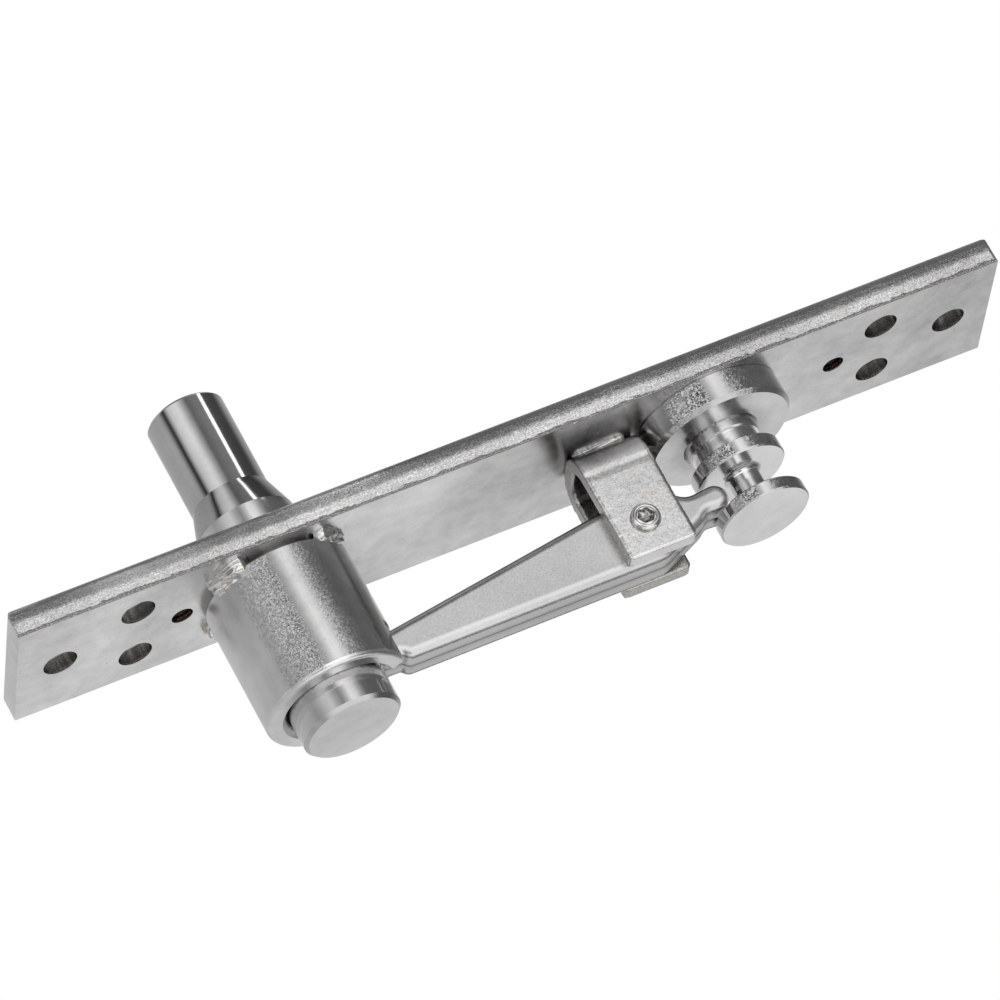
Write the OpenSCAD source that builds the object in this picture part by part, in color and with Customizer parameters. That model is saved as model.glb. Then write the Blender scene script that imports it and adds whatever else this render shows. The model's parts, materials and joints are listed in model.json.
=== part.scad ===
// Pivot hinge with a retractable pin, let into the frame head above a pivoting door.
//
// A zinc-plated steel plate is screwed up under the frame head.  A turned pin slides in a housing that
// is welded to the plate, and its spigot reaches down into the door.  A key turns the threaded adjuster
// from below: its grooved spool drags the tail of a two-blade lever, which tilts in a folded bracket, and
// the lever's tongue lifts the pin out of the door.
//
// Frame: origin at the middle of the plate's outer face, X along the plate from the pin towards the
// adjuster, Z up through the plate into the mechanism.  Sizes in millimetres, shown with the pin out.

/* [Plate] */
// Length of the plate
plate_l = 195.4; // [190:0.2:240]
// Width of the plate
plate_w = 30; // [29.5:0.5:36]
// Thickness of the plate
plate_t = 6; // [5:0.1:7]
// Rounding that shearing leaves round the outer face
plate_roll_r = 1.8; // [1:0.1:2.4]
// Break of the edges round the inner face
plate_edge_r = 0.3; // [0.1:0.1:0.8]
// Rounding of the plate's four corners in plan
plate_corner_r = 0.8; // [0.5:0.1:3]

/* [Fixing holes] */
// Diameter of the six wood screw holes
fix_d = 6.6; // [5:0.1:7]
// Diameter of their countersinks on the outer face
fix_head_d = 12.6; // [10:0.1:13]
// Distance of the single hole from the plate's end
end_hole_inset = 8.5; // [7.5:0.1:10]
// Distance of the pair of holes from the plate's end
pair_inset = 23.4; // [21:0.1:25]
// Spacing of the pair across the plate
pair_pitch = 14.7; // [13.5:0.1:15.5]
// Distance of the tapped hole from the plate's end
tapped_inset = 32.3; // [30:0.1:34]
// Core diameter of the M5 tapped hole
tapped_d = 4.2; // [3:0.1:5]

/* [Pivot pin] */
// Distance from the plate's middle to the pin's axis
pin_offset = 47.4; // [45:0.2:50]
// Diameter of the spigot that enters the door
spigot_d = 15; // [12:0.1:15.6]
// How far the spigot stands out below the plate
spigot_reach = 31.5; // [24:0.5:36]
// Length of the spigot's straight part
spigot_l = 19.6; // [14:0.2:22]
// Chamfer at the spigot's tip
spigot_chamfer = 0.6; // [0.2:0.1:1.5]
// Diameter of the polished ring where the spigot ends
ring_d = 15.8; // [15.6:0.1:17]
// Diameter of the pin's sliding body
pin_d = 19; // [18:0.1:20]
// Distance from the plate down to where the body tapers
taper_drop = 5.7; // [3:0.1:8]
// How far the tail stands out of the housing
tail_out = 5.9; // [2:0.1:10]
// Chamfer at the tail's end
tail_chamfer = 0.7; // [0.1:0.05:1]
// Full lift of the pin
pin_lift = 20; // [12:0.5:20]

/* [Pin housing] */
// Outer diameter of the housing
housing_d = 28; // [26:0.2:29]
// Height of the housing above the plate
housing_h = 27; // [25:0.2:31]
// Rounding of the housing's rim
housing_rim_r = 1; // [0.4:0.1:1.8]
// Chamfer round the housing's foot
housing_foot = 1.5; // [0.5:0.1:2.5]
// Chamfer at the mouth of the bore
mouth_chamfer = 1.2; // [0.2:0.1:1.6]
// Radial relief of the bore behind its mouth
mouth_relief = 0.35; // [0.1:0.05:0.6]
// Depth of the relief below the rim
mouth_relief_h = 5; // [2:0.5:8]
// Rounding of the slot's outer corners
slot_corner_r = 2.6; // [1:0.1:3]
// Space left below the tongue in the housing's slot
slot_floor_gap = 1.5; // [1:0.1:3]

/* [Lever] */
// Thickness of each lever blade
blade_t = 4; // [3:0.1:4.4]
// Distance from the pin's axis to the lever's pivot
arm_l = 64.2; // [60:0.2:66]
// Height of the tongue that works in the pin
tongue_h = 4.6; // [3.8:0.1:5]
// Height of the tongue's middle above the pivot
tongue_rise = 3.5; // [3:0.1:4]
// Distance from the pin's axis to the tongue's shoulder
shoulder_x = 14.4; // [13.5:0.1:16]
// Height of the lever's upper edge above the pivot
back_rise = 6.95; // [6.4:0.05:7.4]
// Depth of the lever's belly below the pivot
belly_drop = 7.8; // [7.2:0.1:8.2]
// Distance from the pivot to the middle of the tail's round end
tail_l = 14.6; // [14.2:0.1:15]
// Radius of the tail's round end
tail_r = 2.65; // [2.2:0.05:2.8]
// Depth of the tail's middle below the pivot
tail_drop = 0.8; // [0.5:0.1:1.1]
// Width of the rolled-over edge that stamping leaves on the outer side
blade_roll = 0.9; // [0.4:0.1:1.1]
// Break of the sheared edge where the blades meet
blade_break = 0.15; // [0.05:0.05:0.3]

/* [Lever bracket] */
// Thickness of the folded strip
strip_t = 3; // [2.5:0.1:3.5]
// Width of the strip
strip_w = 13.4; // [12:0.1:15]
// Height of the ears above the plate
ear_h = 25.5; // [24:0.1:27]
// Inner radius of the folds
fold_r = 3; // [1:0.1:3.6]
// Distance from the ears' ends down to the pivot
pivot_inset = 6.7; // [6:0.1:7.4]
// Distance from the ears' pin-side edge to the pivot
pivot_setback = 6.2; // [5.2:0.1:7]

/* [Pivot screw and bush] */
// Diameter of the bush that the lever turns on
bush_d = 7; // [6:0.1:7.6]
// Diameter of the screw's thread
screw_d = 3; // [2.5:0.1:4]
// Diameter of the screw's button head
head_d = 5.6; // [5:0.1:7]
// Height of the screw's head
head_h = 1.5; // [1.2:0.1:2]
// Depth of the straight rim under the dome
head_rim = 0.45; // [0.3:0.05:0.8]
// Mean diameter of the six-lobe recess
recess_d = 2.5; // [2:0.1:2.8]
// Depth of the recess
recess_depth = 1; // [0.6:0.1:1.1]

/* [Adjuster] */
// Distance from the lever's pivot to the adjuster's axis
adjuster_reach = 22.55; // [22:0.05:24]
// Diameter of the threaded boss
boss_d = 28.8; // [26:0.2:29.4]
// Height of the boss above the plate
boss_h = 5.95; // [4:0.05:6]
// Chamfer round the boss's face
boss_chamfer = 0.8; // [0.3:0.1:1.4]
// Diameter of the boss's spigot in the plate
boss_spigot_d = 19; // [17:0.2:22]
// Outside diameter of the adjuster's thread
thread_d = 14; // [12:0.1:15]
// Diameter of the plain shaft between the thread and the spool
shaft_d = 12.6; // [10:0.1:13]
// Diameter of the spool's two flanges
flange_d = 17.7; // [16:0.1:18]
// Thickness of the flange next to the boss
low_flange_t = 2.96; // [2.4:0.02:3.2]
// Thickness of the end flange
top_flange_t = 2.7; // [2:0.1:4]
// Width of the groove that holds the lever's tail
groove_w = 6.94; // [6.6:0.02:7.4]
// Diameter of the neck at the bottom of the groove
neck_d = 6.2; // [5:0.1:7]
// Rounding where the neck meets the lower flange
neck_fillet = 1.2; // [0.4:0.1:2]
// Chamfer on the flanges' rims
flange_chamfer = 0.3; // [0.1:0.05:0.6]
// Width across flats of the key socket in the adjuster's foot
key_af = 6; // [4:0.5:6]
// Depth of the key socket
key_depth = 5; // [3:0.5:6]

/* [Welds] */
// Radius of the beads round the housing's foot
housing_bead_r = 1.8; // [1.5:0.1:2.4]
// Angle that each of those beads covers
housing_bead_arc = 28; // [20:1:40]
// Radius of the beads beside the bracket
bracket_bead_r = 1.7; // [1.2:0.1:2.2]
// Length of the beads beside the bracket
bracket_bead_l = 10; // [6:0.5:12]

/* [Fits] */
// Radial play of the sliding and turning fits
running_play = 0.05; // [0.02:0.01:0.1]
// Radial play of a screw in its hole
screw_play = 0.02; // [0.01:0.01:0.1]
// Clearance of the lever between the bracket's ears, on each side
ear_play = 0.15; // [0.1:0.01:0.4]
// Clearance of the lever in the slots, on each side
slot_play = 0.25; // [0.15:0.01:0.5]
// Clearance above and below the tongue in the pin
tongue_play = 0.3; // [0.25:0.01:0.5]
// Clearance between the groove's upper wall and the tail
groove_play = 0.45; // [0.35:0.01:0.6]
// Radial clearance of the pin in the plate
plate_play = 0.3; // [0.2:0.01:0.8]

/* [Hidden] */
$fn = 96;
over = 1;

// Places along the plate
pin_x = -pin_offset;
pivot_x = pin_x + arm_l;
adjuster_x = pivot_x + adjuster_reach;
bracket_x = pivot_x - pivot_setback + strip_w / 2;
tapped_clear = 3;
tapped_x = max(plate_l / 2 - tapped_inset, adjuster_x + boss_d / 2 + tapped_clear);

// Heights above the plate's outer face
pivot_z = plate_t + ear_h - pivot_inset;
tongue_z = pivot_z + tongue_rise;
rim_z = plate_t + housing_h;
boss_z = plate_t + boss_h;
slot_floor_z = tongue_z - tongue_h / 2 - slot_floor_gap;
groove_top_z = pivot_z - tail_drop + tail_r + groove_play;
groove_low_z = groove_top_z - groove_w;
low_flange_z = groove_low_z - low_flange_t;

// Widths across the lever
lever_w = 2 * blade_t;
ear_gap = lever_w + 2 * ear_play;
slot_w = lever_w + 2 * slot_play;
bracket_span = ear_gap + 2 * strip_t;

// Where the lever's outline turns, from the shoulder, from the pivot and back from the tail's middle
tongue_root = 6.4;
shoulder_run = 1;
belly_turn = 4.6;
back_turn = 1.4;
throat_back = 4.7;
throat_rise = 0.7;
neck_back = 2.3;
neck_sink = 0.4;
bend_back = 4;
bend_rise = 0.9;
tail_flare = 0.1;

// Roundings of that outline
belly_r = 5;
throat_r = 3.4;
neck_r = 2.2;
shoulder_r = 1.8;
shoulder_root_r = 0.8;

// Travel of the spool at full lift, and where its foot stays inside the plate
spool_drop = pin_lift * tail_l / arm_l;
foot_gap = 0.7;
foot_z = spool_drop + foot_gap;
thread_top_gap = 2;

// The tongue's slot in the pin: its floor falls away where the lever dips out of it
tongue_pull = arm_l * (1 - cos(asin(pin_lift / arm_l)));
relief_angle = asin(pin_lift / arm_l) + 2;

ends = [-1, 1];
sides = [-1, 1];
metal = [0.74, 0.75, 0.76];
turned_metal = [0.66, 0.67, 0.68];
stamped_metal = [0.8, 0.8, 0.8];
weld_metal = [0.6, 0.58, 0.54];

// ---- shared shapes ----

// Rectangle about the origin with true round corners
module rounded_rect(size, r) {
    square([size.x - 2 * r, size.y], center = true);
    square([size.x, size.y - 2 * r], center = true);
    for (x = sides)
        for (y = sides)
            translate([x * (size.x / 2 - r), y * (size.y / 2 - r)])
                circle(r);
}

// Extrudes a Y-Z outline along X, about the middle
module along_x(length) {
    rotate([90, 0, 90])
        linear_extrude(length, center = true)
            children();
}

// Extrudes an X-Z outline along Y, about the middle
module along_y(length) {
    rotate([90, 0, 0])
        linear_extrude(length, center = true)
            children();
}

// Cylinder across the object, on the lever's pivot
module pivot_cylinder(d, from_y, to_y) {
    translate([pivot_x, to_y, pivot_z])
        rotate([90, 0, 0])
            cylinder(h = to_y - from_y, d = d);
}

// ---- mounting plate ----

// Section of the sheared plate: generous rounding at the outer face, a small break at the inner one
module plate_section(width) {
    translate([-width / 2, plate_roll_r])
        square([width, plate_t - plate_roll_r - plate_edge_r]);
    translate([plate_roll_r - width / 2, 0])
        square([width - 2 * plate_roll_r, plate_t]);
    translate([plate_edge_r - width / 2, plate_t / 2])
        square([width - 2 * plate_edge_r, plate_t / 2]);
    for (side = sides) {
        translate([side * (width / 2 - plate_roll_r), plate_roll_r])
            circle(plate_roll_r);
        translate([side * (width / 2 - plate_edge_r), plate_t - plate_edge_r])
            circle(plate_edge_r);
    }
}

module plate_blank() {
    intersection() {
        linear_extrude(plate_t)
            rounded_rect([plate_l, plate_w], plate_corner_r);
        along_x(plate_l)
            plate_section(plate_w);
        along_y(plate_w)
            plate_section(plate_l);
    }
}

// Screw hole, countersunk at 90 degrees from the outer face
module fixing_hole(x, y) {
    sink = (fix_head_d - fix_d) / 2;
    translate([x, y, -over])
        cylinder(h = plate_t + 2 * over, d = fix_d);
    translate([x, y, -over])
        cylinder(h = sink + over, r1 = fix_head_d / 2 + over, r2 = fix_d / 2);
}

module plate_holes() {
    for (end = ends) {
        fixing_hole(end * (plate_l / 2 - end_hole_inset), 0);
        for (side = sides)
            fixing_hole(end * (plate_l / 2 - pair_inset), side * pair_pitch / 2);
        translate([end * tapped_x, 0, -over])
            cylinder(h = plate_t + 2 * over, d = tapped_d);
    }
    translate([pin_x, 0, -over])
        cylinder(h = plate_t + 2 * over, d = pin_d + 2 * plate_play);
    translate([adjuster_x, 0, -over])
        cylinder(h = plate_t + 2 * over, d = boss_spigot_d);
}

module mounting_plate() {
    color(metal)
        difference() {
            plate_blank();
            plate_holes();
        }
}

// ---- pin housing ----

module housing_section() {
    outer = housing_d / 2;
    bore = pin_d / 2 + running_play;
    polygon([
        [bore, plate_t],
        [outer - housing_foot, plate_t],
        [outer, plate_t + housing_foot],
        [outer, rim_z - housing_rim_r],
        [outer - housing_rim_r, rim_z],
        [bore + mouth_relief + mouth_chamfer, rim_z],
        [bore + mouth_relief, rim_z - mouth_chamfer],
        [bore + mouth_relief, rim_z - mouth_relief_h],
        [bore, rim_z - mouth_relief_h]
    ]);
    translate([outer - housing_rim_r, rim_z - housing_rim_r])
        circle(housing_rim_r);
}

// Plan of what rounds one outer corner of the housing's slot
module slot_corner() {
    outer = housing_d / 2;
    blend = 0.2;
    middle_r = outer - slot_corner_r + blend;
    middle_y = slot_w / 2 + slot_corner_r;
    middle = [sqrt(middle_r * middle_r - middle_y * middle_y), middle_y];
    difference() {
        polygon([
            middle,
            [middle.x, slot_w / 2],
            [outer + over, slot_w / 2],
            middle * (outer + over) / middle_r
        ]);
        translate(middle)
            circle(slot_corner_r);
    }
}

module housing_slot() {
    translate([0, 0, slot_floor_z])
        linear_extrude(rim_z - slot_floor_z + over) {
            translate([0, -slot_w / 2])
                square([housing_d / 2 + over, slot_w]);
            slot_corner();
            mirror([0, 1])
                slot_corner();
        }
}

module pin_housing() {
    color(metal)
        translate([pin_x, 0, 0])
            difference() {
                rotate_extrude()
                    housing_section();
                housing_slot();
            }
}

// One bead laid round the foot of the housing, as overlapping drops
module housing_bead(angle) {
    bead_r = housing_d / 2 + housing_bead_r / 4;
    drops = 5;
    for (i = [0 : drops - 1])
        rotate(angle + housing_bead_arc * (i / (drops - 1) - 0.5))
            translate([bead_r, 0, plate_t + housing_bead_r / 2])
                sphere(housing_bead_r, $fn = 48);
}

module housing_welds() {
    bead_angles = [41, 137, -41, -137];
    color(weld_metal)
        translate([pin_x, 0, 0])
            for (angle = bead_angles)
                difference() {
                    housing_bead(angle);
                    rotate_extrude()
                        housing_section();
                    translate([0, 0, -plate_t])
                        cylinder(h = 2 * plate_t, r = housing_d);
                }
}

// ---- lever bracket ----

// Outline of the folded strip, seen along the plate
module bracket_section() {
    bend_r = fold_r + strip_t;
    difference() {
        translate([0, plate_t + ear_h])
            rounded_rect([bracket_span, 2 * ear_h], bend_r);
        translate([0, plate_t + strip_t + ear_h])
            rounded_rect([ear_gap, 2 * ear_h], fold_r);
        translate([-bracket_span, plate_t + ear_h])
            square([2 * bracket_span, 2 * ear_h]);
    }
}

module bracket_solid() {
    translate([bracket_x, 0, 0])
        along_x(strip_w)
            bracket_section();
}

module lever_bracket() {
    tapped_y = -bracket_span / 2 - over;
    color(stamped_metal)
        difference() {
            bracket_solid();
            pivot_cylinder(screw_d + 2 * running_play, 0, bracket_span);
            pivot_cylinder(screw_d + 2 * screw_play, tapped_y, 0);
        }
}

// Beads of overlapping drops in the grooves between the bracket's folds and the plate
module bracket_welds() {
    bead_y = bracket_span / 2 - fold_r - strip_t + bracket_bead_r;
    drops = 6;
    first_x = bracket_x - bracket_bead_l / 2 + bracket_bead_r;
    pitch = (bracket_bead_l - 2 * bracket_bead_r) / (drops - 1);
    color(weld_metal)
        for (side = sides)
            difference() {
                for (i = [0 : drops - 1])
                    translate([first_x + i * pitch, side * bead_y, plate_t + bracket_bead_r / 3])
                        sphere(bracket_bead_r, $fn = 48);
                bracket_solid();
                translate([bracket_x - strip_w, -bracket_span, 0])
                    cube([2 * strip_w, 2 * bracket_span, plate_t]);
            }
}

// ---- bush and screw on the lever's pivot ----

module lever_bush() {
    color(turned_metal)
        difference() {
            pivot_cylinder(bush_d, -ear_gap / 2, ear_gap / 2);
            pivot_cylinder(screw_d + 2 * screw_play, -ear_gap, ear_gap);
        }
}

// Six-lobe outline of the driver's recess
module lobed_recess() {
    lobe_depth = recess_d / 12;
    step = 6;
    polygon([
        for (angle = [0 : step : 360 - step])
            (recess_d / 2 + lobe_depth * cos(6 * angle)) * [cos(angle), sin(angle)]
    ]);
}

module button_head() {
    dome_h = head_h - head_rim;
    dome_r = (head_d * head_d / 4 + dome_h * dome_h) / (2 * dome_h);
    rotate_extrude()
        intersection() {
            square([head_d / 2, head_h]);
            translate([0, head_h - dome_r])
                circle(dome_r, $fn = 180);
        }
}

module lever_screw() {
    ear_y = bracket_span / 2;
    color(turned_metal) {
        translate([pivot_x, ear_y, pivot_z])
            rotate([-90, 0, 0])
                difference() {
                    union() {
                        button_head();
                        translate([0, 0, -bracket_span])
                            cylinder(h = bracket_span + head_rim, d = screw_d);
                    }
                    translate([0, 0, head_h - recess_depth])
                        linear_extrude(recess_depth + over)
                            lobed_recess();
                }
    }
}

// ---- adjuster ----

module adjuster_boss() {
    bore = thread_d / 2 + running_play;
    outer = boss_d / 2;
    lead_in = 0.5;
    foot_break = 0.3;
    color(metal)
        translate([adjuster_x, 0, 0])
            rotate_extrude()
                polygon([
                    [bore, 0],
                    [boss_spigot_d / 2, 0],
                    [boss_spigot_d / 2, plate_t],
                    [outer - foot_break, plate_t],
                    [outer, plate_t + foot_break],
                    [outer, boss_z - boss_chamfer],
                    [outer - boss_chamfer, boss_z],
                    [bore + lead_in, boss_z],
                    [bore, boss_z - lead_in]
                ]);
}

// Half section of the adjuster: thread, plain shaft, two flanges and the neck between them
module spool_section() {
    flange = flange_d / 2;
    shaft = shaft_d / 2;
    neck = neck_d / 2;
    thread = thread_d / 2;
    thread_top = boss_z + thread_top_gap;
    end_z = groove_top_z + top_flange_t;
    polygon([
        [0, foot_z],
        [thread - flange_chamfer, foot_z],
        [thread, foot_z + flange_chamfer],
        [thread, thread_top - flange_chamfer],
        [thread - flange_chamfer, thread_top],
        [shaft, thread_top],
        [shaft, low_flange_z],
        [flange - flange_chamfer, low_flange_z],
        [flange, low_flange_z + flange_chamfer],
        [flange, groove_low_z - flange_chamfer],
        [flange - flange_chamfer, groove_low_z],
        [neck, groove_low_z],
        [neck, groove_top_z],
        [flange - flange_chamfer, groove_top_z],
        [flange, groove_top_z + flange_chamfer],
        [flange, end_z - flange_chamfer],
        [flange - flange_chamfer, end_z],
        [0, end_z]
    ]);
    difference() {
        translate([0, groove_low_z - over])
            square([neck + neck_fillet, neck_fillet + over]);
        translate([neck + neck_fillet, groove_low_z + neck_fillet])
            circle(neck_fillet);
    }
}

module adjuster_spool() {
    corner_d = key_af / cos(30);
    color(turned_metal)
        translate([adjuster_x, 0, 0])
            difference() {
                rotate_extrude()
                    spool_section();
                translate([0, 0, foot_z - over])
                    cylinder(h = key_depth + over, d = corner_d, $fn = 6);
            }
}

// ---- pivot pin ----

// Outline of the tongue's slot, beside the pin's axis
module tongue_slot() {
    blind_x = -tongue_h / 2 - tongue_play;
    floor_z = tongue_z - tongue_h / 2 - tongue_play;
    mouth_x = pin_d / 2 + over;
    relief_x = tongue_pull + tongue_play;
    polygon([
        [blind_x, floor_z],
        [relief_x, floor_z],
        [mouth_x, floor_z - (mouth_x - relief_x) * tan(relief_angle)],
        [mouth_x, tongue_z + tongue_h / 2 + tongue_play],
        [blind_x, tongue_z + tongue_h / 2 + tongue_play]
    ]);
}

module pivot_pin() {
    spigot = spigot_d / 2;
    body = pin_d / 2;
    ring = ring_d / 2;
    ring_w = 1.2;
    tip_z = -spigot_reach;
    ring_z = tip_z + spigot_l;
    tail_z = rim_z + tail_out;
    color(turned_metal)
        translate([pin_x, 0, 0])
            difference() {
                rotate_extrude()
                    polygon([
                        [0, tip_z],
                        [spigot - spigot_chamfer, tip_z],
                        [spigot, tip_z + spigot_chamfer],
                        [spigot, ring_z],
                        [ring, ring_z + ring_w],
                        [body, -taper_drop],
                        [body, tail_z - tail_chamfer],
                        [body - tail_chamfer, tail_z],
                        [0, tail_z]
                    ]);
                along_y(slot_w)
                    tongue_slot();
            }
}

// ---- lever ----

// One corner of an outline as [point, outward normal] pairs along its arc
function corner_arc(before, corner, after, r) =
    let (
        back = (before - corner) / norm(before - corner),
        ahead = (after - corner) / norm(after - corner),
        half = acos(back * ahead) / 2,
        middle = corner + (back + ahead) / norm(back + ahead) * r / sin(half),
        turn = sign(back.y * ahead.x - back.x * ahead.y),
        first = corner + back * r / tan(half) - middle,
        start = atan2(first.y, first.x),
        sweep = 180 - 2 * half,
        steps = max(2, ceil(sweep / 12))
    )
    [
        for (i = [0 : steps])
            let (angle = start + turn * sweep * i / steps, out = [cos(angle), sin(angle)])
                [middle + r * out, turn * out]
    ];

// A closed outline of [x, z, radius] corners, taken anticlockwise
function rounded_outline(corners) =
    let (n = len(corners))
    [
        for (i = [0 : n - 1])
            let (a = corners[(i + n - 1) % n], b = corners[i], c = corners[(i + 1) % n])
                each corner_arc([a.x, a.y], [b.x, b.y], [c.x, c.y], b.z)
    ];

// The lever's side view about its pivot: tongue, belly, throat, round tail, back and shoulder
function lever_corners() =
    let (
        tongue_low = tongue_rise - tongue_h / 2,
        tongue_top = tongue_rise + tongue_h / 2,
        nose = -arm_l - tongue_h / 2,
        nose_r = 0.45 * tongue_h,
        shoulder = -arm_l + shoulder_x,
        tail_low = -tail_drop - tail_r,
        tail_top = -tail_drop + tail_r,
        tail_end = tail_l + tail_r,
        end_r = 0.9 * tail_r
    )
    [
        [nose, tongue_low, nose_r],
        [shoulder - tongue_root, tongue_low, belly_r],
        [belly_turn, -belly_drop, belly_r],
        [tail_l - throat_back, tail_low + throat_rise, throat_r],
        [tail_end, tail_low - tail_flare, end_r],
        [tail_end, tail_top + tail_flare, end_r],
        [tail_l - neck_back, tail_top - neck_sink, neck_r],
        [tail_l - bend_back, tail_top + bend_rise, belly_r],
        [back_turn, back_rise, belly_r],
        [shoulder, back_rise, shoulder_r],
        [shoulder - shoulder_run, tongue_top, shoulder_root_r],
        [nose, tongue_top, nose_r]
    ];

// One layer of a blade, its outline drawn in by inset
module blade_layer(outline, inset, from, to) {
    translate([pivot_x, 0, pivot_z])
        rotate([90, 0, 0])
            translate([0, 0, -to])
                linear_extrude(to - from)
                    polygon([for (spot = outline) spot[0] - inset * spot[1]]);
}

// A stamped blade on the +Y side: sheared edge at the middle, rolled edge outside in fine steps
module lever_blade() {
    outline = rounded_outline(lever_corners());
    roll_steps = 5;
    color(stamped_metal)
        difference() {
            union() {
                blade_layer(outline, blade_break, 0, blade_t / 2);
                for (i = [0 : roll_steps - 1])
                    let (inset = blade_roll * (1 - cos(90 * i / roll_steps)))
                        blade_layer(
                            outline, inset, blade_break,
                            blade_t - blade_roll * (1 - sin(90 * (i + 1) / roll_steps))
                        );
            }
            pivot_cylinder(bush_d + 2 * running_play, -over, blade_t + over);
        }
}

module lever_blade_near() {
    lever_blade();
}

module lever_blade_far() {
    mirror([0, 1, 0])
        lever_blade();
}

mounting_plate();
pin_housing();
housing_welds();
lever_bracket();
bracket_welds();
lever_bush();
lever_screw();
adjuster_boss();
pivot_pin();
lever_blade_near();
lever_blade_far();
adjuster_spool();
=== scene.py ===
"""Pivot hinge with a retractable pin: finishes, welds, studio and camera."""

import json
import math

import bmesh
import bpy
from mathutils import Matrix, Vector, noise
from mathutils.geometry import tessellate_polygon


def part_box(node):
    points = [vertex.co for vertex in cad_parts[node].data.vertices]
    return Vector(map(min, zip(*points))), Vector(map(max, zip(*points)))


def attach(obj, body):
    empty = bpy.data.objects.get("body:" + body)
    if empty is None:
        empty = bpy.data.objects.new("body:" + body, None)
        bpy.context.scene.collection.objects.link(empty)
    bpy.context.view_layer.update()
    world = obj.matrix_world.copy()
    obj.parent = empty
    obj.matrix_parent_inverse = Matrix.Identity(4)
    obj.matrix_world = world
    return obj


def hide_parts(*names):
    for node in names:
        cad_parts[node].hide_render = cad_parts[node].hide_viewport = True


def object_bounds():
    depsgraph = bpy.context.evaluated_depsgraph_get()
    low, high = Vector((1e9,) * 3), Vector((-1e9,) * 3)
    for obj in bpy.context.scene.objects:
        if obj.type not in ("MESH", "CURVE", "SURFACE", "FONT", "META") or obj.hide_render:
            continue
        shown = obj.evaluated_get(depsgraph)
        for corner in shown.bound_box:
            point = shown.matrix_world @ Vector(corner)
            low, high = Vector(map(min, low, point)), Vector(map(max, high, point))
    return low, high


MM = 0.001

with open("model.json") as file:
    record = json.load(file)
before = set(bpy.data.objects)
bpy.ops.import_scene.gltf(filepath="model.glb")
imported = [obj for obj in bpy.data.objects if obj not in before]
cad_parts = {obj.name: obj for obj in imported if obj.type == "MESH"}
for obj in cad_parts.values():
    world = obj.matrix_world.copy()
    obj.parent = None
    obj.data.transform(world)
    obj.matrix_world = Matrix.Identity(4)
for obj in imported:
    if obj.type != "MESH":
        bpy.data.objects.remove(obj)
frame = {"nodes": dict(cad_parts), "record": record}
frame_low, frame_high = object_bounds()
nodes = frame["nodes"]
mounts = {mount["name"]: mount["dims"] for mount in frame["record"]["mounts"]}


def span(name):
    """A node's lowest and highest corners in millimetres."""
    low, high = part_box(name)
    return Vector(low) / MM, Vector(high) / MM


def middle(name):
    low, high = span(name)
    return (low + high) / 2


PLATE_HIGH = span("mounting_plate")[1]
PIN_AXIS = middle("pivot_pin")
SPOOL_AXIS = middle("adjuster_spool")
BLADE = span("lever_blade_near")[1].y  # a blade's thickness, from the seam outwards
MOUTH = span("pivot_pin")[1].y + 0.05  # the radius of the housing's bore
STRIP, FOLD = 3.0, 3.0  # the bracket's thickness, and the radius inside its folds
FOLD_TOP = span("lever_bracket")[0].z + STRIP + FOLD
EAR_FACE = span("lever_bracket")[1].y


# ---------------------------------------------------------------- shader maths


class Value:
    """One output of a shader node. Arithmetic on it adds Math nodes."""

    def __init__(self, graph, socket):
        self.graph = graph
        self.socket = socket

    def __add__(self, other):
        return self.graph.math("ADD", self, other)

    def __radd__(self, other):
        return self.graph.math("ADD", other, self)

    def __sub__(self, other):
        return self.graph.math("SUBTRACT", self, other)

    def __rsub__(self, other):
        return self.graph.math("SUBTRACT", other, self)

    def __mul__(self, other):
        return self.graph.math("MULTIPLY", self, other)

    def __rmul__(self, other):
        return self.graph.math("MULTIPLY", other, self)

    def __truediv__(self, other):
        return self.graph.math("DIVIDE", self, other)

    def __rtruediv__(self, other):
        return self.graph.math("DIVIDE", other, self)

    def __pow__(self, other):
        return self.graph.math("POWER", self, other)

    def absolute(self):
        return self.graph.math("ABSOLUTE", self)

    def fraction(self):
        return self.graph.math("FRACT", self)

    def at_most(self, limit):
        return self.graph.math("MINIMUM", self, limit)

    def at_least(self, limit):
        return self.graph.math("MAXIMUM", self, limit)

    def between(self, low, high):
        """0 below low, 1 above high, and a soft step from one to the other."""
        return self.graph.node(
            "MapRange",
            {"interpolation_type": "SMOOTHSTEP"},
            {"Value": self, "From Min": low, "From Max": high},
        )

    def near(self, place, reach):
        """1 at a place, falling softly to 0 at that reach on either side."""
        return 1 - (self - place).absolute().between(0, reach)


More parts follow.
